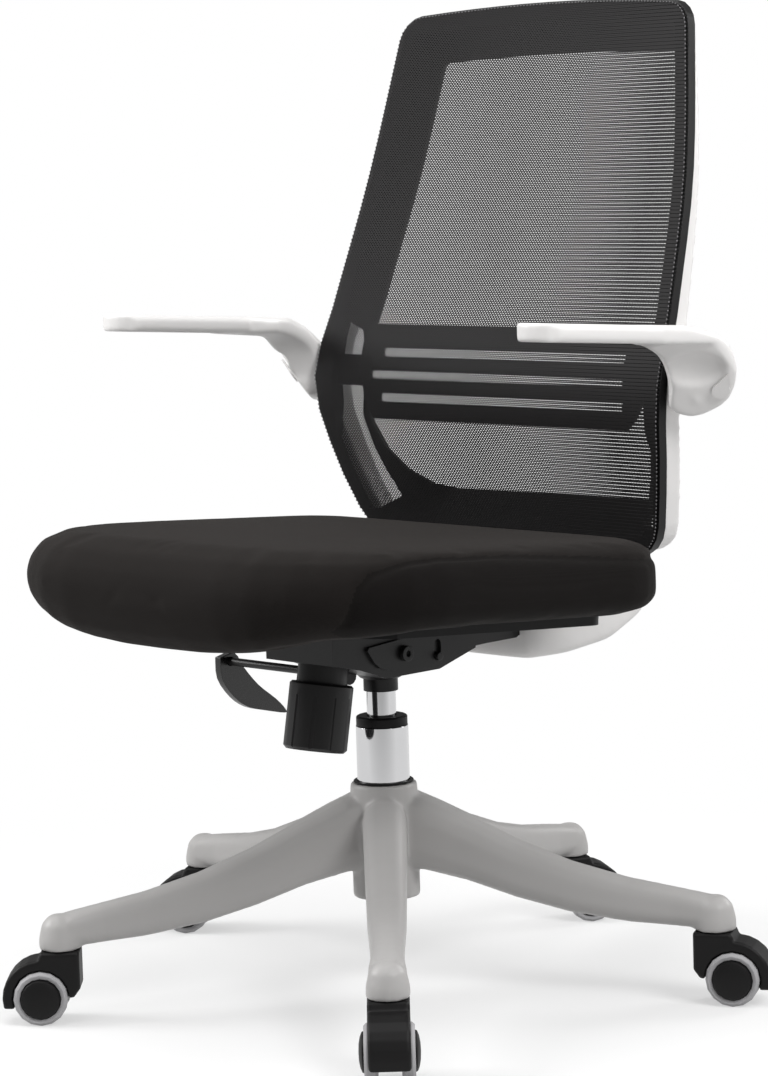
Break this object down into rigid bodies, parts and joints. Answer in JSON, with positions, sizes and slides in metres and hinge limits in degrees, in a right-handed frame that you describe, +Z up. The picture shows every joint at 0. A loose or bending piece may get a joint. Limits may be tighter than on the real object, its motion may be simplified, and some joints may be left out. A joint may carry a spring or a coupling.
{
  "type": "office chair",
  "caption": "Office swivel chair with a reclining mesh back, slotted lumbar support, flip-up arms, padded seat, gas lift and a star base on twin-wheel casters.",
  "frame": {"origin": "on the floor, under the middle of the chair's box", "axes": "+Z up, the sitter faces -Y, the sitter's left is +X"},
  "size_m": [0.7046, 0.6982, 0.9264],
  "materials": {
    "white_plastic": "satin moulded",
    "black_plastic": "fine grained",
    "black_steel": "satin powder coat",
    "chrome": "polished",
    "steel": "plain",
    "grey_tyre": "matte",
    "seat_fabric": "woven",
    "back_mesh": "open weave"
  },
  "bodies": {
    "base": {"base": "white_plastic", "lift_column": "chrome", "lift_guide_bush": "black_plastic", "lift_thrust_bearing": "steel"},
    "spindle": {"lift_piston_rod": "steel"},
    "seat": {"lift_cylinder": "chrome", "mechanism_housing": "black_steel", "recline_axle": "black_steel", "stop_pin": "steel", "seat_pan": "black_plastic", "seat_cushion": "seat_fabric", "seat_stud_plate": "steel"},
    "back": {"recline_bracket": "black_steel", "back_frame": "white_plastic", "mesh_frame": "black_plastic", "back_mesh": "back_mesh", "arm_pivot_left": "steel", "arm_pivot_right": "steel", "back_clamp_plate": "steel"},
    "lumbar": {"lumbar_support": "black_plastic"},
    "arm_left": {"armrest_left": "white_plastic", "arm_cap_left": "white_plastic"},
    "arm_right": {"armrest_right": "white_plastic", "arm_cap_right": "white_plastic"},
    "knob": {"tension_knob": "black_plastic", "tension_bolt": "steel"},
    "pressure_plate": {"tension_plate": "steel", "tension_spring": "steel"},
    "lever": {"lever_rod": "black_steel", "lever_paddle": "black_plastic"},
    "caster_1": {"caster_1_housing": "black_plastic", "caster_1_axle": "steel"},
    "wheel_1_l": {"caster_1_hub_l": "black_plastic", "caster_1_tyre_l": "grey_tyre"},
    "wheel_1_r": {"caster_1_hub_r": "black_plastic", "caster_1_tyre_r": "grey_tyre"},
    "caster_2": {"caster_2_housing": "black_plastic", "caster_2_axle": "steel"},
    "wheel_2_l": {"caster_2_hub_l": "black_plastic", "caster_2_tyre_l": "grey_tyre"},
    "wheel_2_r": {"caster_2_hub_r": "black_plastic", "caster_2_tyre_r": "grey_tyre"},
    "caster_3": {"caster_3_housing": "black_plastic", "caster_3_axle": "steel"},
    "wheel_3_l": {"caster_3_hub_l": "black_plastic", "caster_3_tyre_l": "grey_tyre"},
    "wheel_3_r": {"caster_3_hub_r": "black_plastic", "caster_3_tyre_r": "grey_tyre"},
    "caster_4": {"caster_4_housing": "black_plastic", "caster_4_axle": "steel"},
    "wheel_4_l": {"caster_4_hub_l": "black_plastic", "caster_4_tyre_l": "grey_tyre"},
    "wheel_4_r": {"caster_4_hub_r": "black_plastic", "caster_4_tyre_r": "grey_tyre"},
    "caster_5": {"caster_5_housing": "black_plastic", "caster_5_axle": "steel"},
    "wheel_5_l": {"caster_5_hub_l": "black_plastic", "caster_5_tyre_l": "grey_tyre"},
    "wheel_5_r": {"caster_5_hub_r": "black_plastic", "caster_5_tyre_r": "grey_tyre"}
  },
  "joints": [
    {"name": "seat_swivel", "type": "hinge", "parent": "base", "child": "spindle", "pos_m": [0.01446, -0.01804, 0.0975], "axis": [0, 0, 1], "continuous": true},
    {"name": "seat_height", "type": "slide", "parent": "spindle", "child": "seat", "axis": [0, 0, 1], "range_m": [-0.02, 0.08]},
    {"name": "recline", "type": "hinge", "parent": "seat", "child": "back", "pos_m": [0.01446, -0.03304, 0.3244], "axis": [-1, 0, 0], "range_deg": [0, 15], "stiffness_Nm_per_rad": 150, "springref_deg": -17.19},
    {"name": "lumbar_slide", "type": "slide", "parent": "back", "child": "lumbar", "axis": [0, 0.1392, 0.9903], "range_m": [-0.02, 0.02]},
    {"name": "arm_left_flip", "type": "hinge", "parent": "back", "child": "arm_left", "pos_m": [0.01446, 0.15096, 0.5634], "axis": [-1, 0, 0], "range_deg": [0, 90]},
    {"name": "arm_right_flip", "type": "hinge", "parent": "back", "child": "arm_right", "pos_m": [0.01446, 0.15096, 0.5634], "axis": [-1, 0, 0], "range_deg": [0, 90]},
    {"name": "tension_turn", "type": "hinge", "parent": "seat", "child": "knob", "pos_m": [0.01446, -0.08804, 0.3354], "axis": [0, 0.1908, 0.9816], "range_deg": [-720, 720]},
    {"name": "tension_press", "type": "slide", "parent": "seat", "child": "pressure_plate", "axis": [0, 0.1908, 0.9816], "range_m": [-0.0021, 0.0021], "deforming": ["tension_spring"]},
    {"name": "lever_lift", "type": "hinge", "parent": "seat", "child": "lever", "pos_m": [0.01446, -0.05804, 0.302], "axis": [1, 0, 0], "range_deg": [0, 12], "stiffness_Nm_per_rad": 1.2, "springref_deg": -14.32},
    {"name": "caster_1_swivel", "type": "hinge", "parent": "base", "child": "caster_1", "pos_m": [0.23744, -0.24336, 0], "axis": [0, 0, 1], "continuous": true},
    {"name": "wheel_1_l_spin", "type": "hinge", "parent": "caster_1", "child": "wheel_1_l", "pos_m": [0.25721, -0.24912, 0.025], "axis": [0.7108, 0.7034, 0], "continuous": true},
    {"name": "wheel_1_r_spin", "type": "hinge", "parent": "caster_1", "child": "wheel_1_r", "pos_m": [0.24299, -0.26319, 0.025], "axis": [0.7108, 0.7034, 0], "continuous": true},
    {"name": "caster_2_swivel", "type": "hinge", "parent": "base", "child": "caster_2", "pos_m": [0.29766, 0.1244, 0], "axis": [0, 0, 1], "continuous": true},
    {"name": "wheel_2_l_spin", "type": "hinge", "parent": "caster_2", "child": "wheel_2_l", "pos_m": [0.30834, 0.142, 0.025], "axis": [-0.4955, 0.8686, 0], "continuous": true},
    {"name": "wheel_2_r_spin", "type": "hinge", "parent": "caster_2", "child": "wheel_2_r", "pos_m": [0.31825, 0.12463, 0.025], "axis": [-0.4955, 0.8686, 0], "continuous": true},
    {"name": "caster_3_swivel", "type": "hinge", "parent": "base", "child": "caster_3", "pos_m": [-0.03349, 0.29532, 0], "axis": [0, 0, 1], "continuous": true},
    {"name": "wheel_3_l_spin", "type": "hinge", "parent": "caster_3", "child": "wheel_3_l", "pos_m": [-0.03196, 0.31585, 0.025], "axis": [-0.8358, 0.549, 0], "continuous": true},
    {"name": "wheel_3_r_spin", "type": "hinge", "parent": "caster_3", "child": "wheel_3_r", "pos_m": [-0.01525, 0.30487, 0.025], "axis": [-0.8358, 0.549, 0], "continuous": true},
    {"name": "caster_4_swivel", "type": "hinge", "parent": "base", "child": "caster_4", "pos_m": [-0.29837, 0.03319, 0], "axis": [0, 0, 1], "continuous": true},
    {"name": "wheel_4_l_spin", "type": "hinge", "parent": "caster_4", "child": "wheel_4_l", "pos_m": [-0.30812, 0.01505, 0.025], "axis": [0.5402, -0.8415, 0], "continuous": true},
    {"name": "wheel_4_r_spin", "type": "hinge", "parent": "caster_4", "child": "wheel_4_r", "pos_m": [-0.31892, 0.03188, 0.025], "axis": [0.5402, -0.8415, 0], "continuous": true},
    {"name": "caster_5_swivel", "type": "hinge", "parent": "base", "child": "caster_5", "pos_m": [-0.13093, -0.29973, 0], "axis": [0, 0, 1], "continuous": true},
    {"name": "wheel_5_l_spin", "type": "hinge", "parent": "caster_5", "child": "wheel_5_l", "pos_m": [-0.13669, -0.3195, 0.025], "axis": [0.7034, -0.7108, 0], "continuous": true},
    {"name": "wheel_5_r_spin", "type": "hinge", "parent": "caster_5", "child": "wheel_5_r", "pos_m": [-0.15076, -0.30528, 0.025], "axis": [0.7034, -0.7108, 0], "continuous": true}
  ],
  "couplings": [
    {"joint": "tension_press", "follows": "tension_turn", "m_per_rad": 0.00015915}
  ]
}
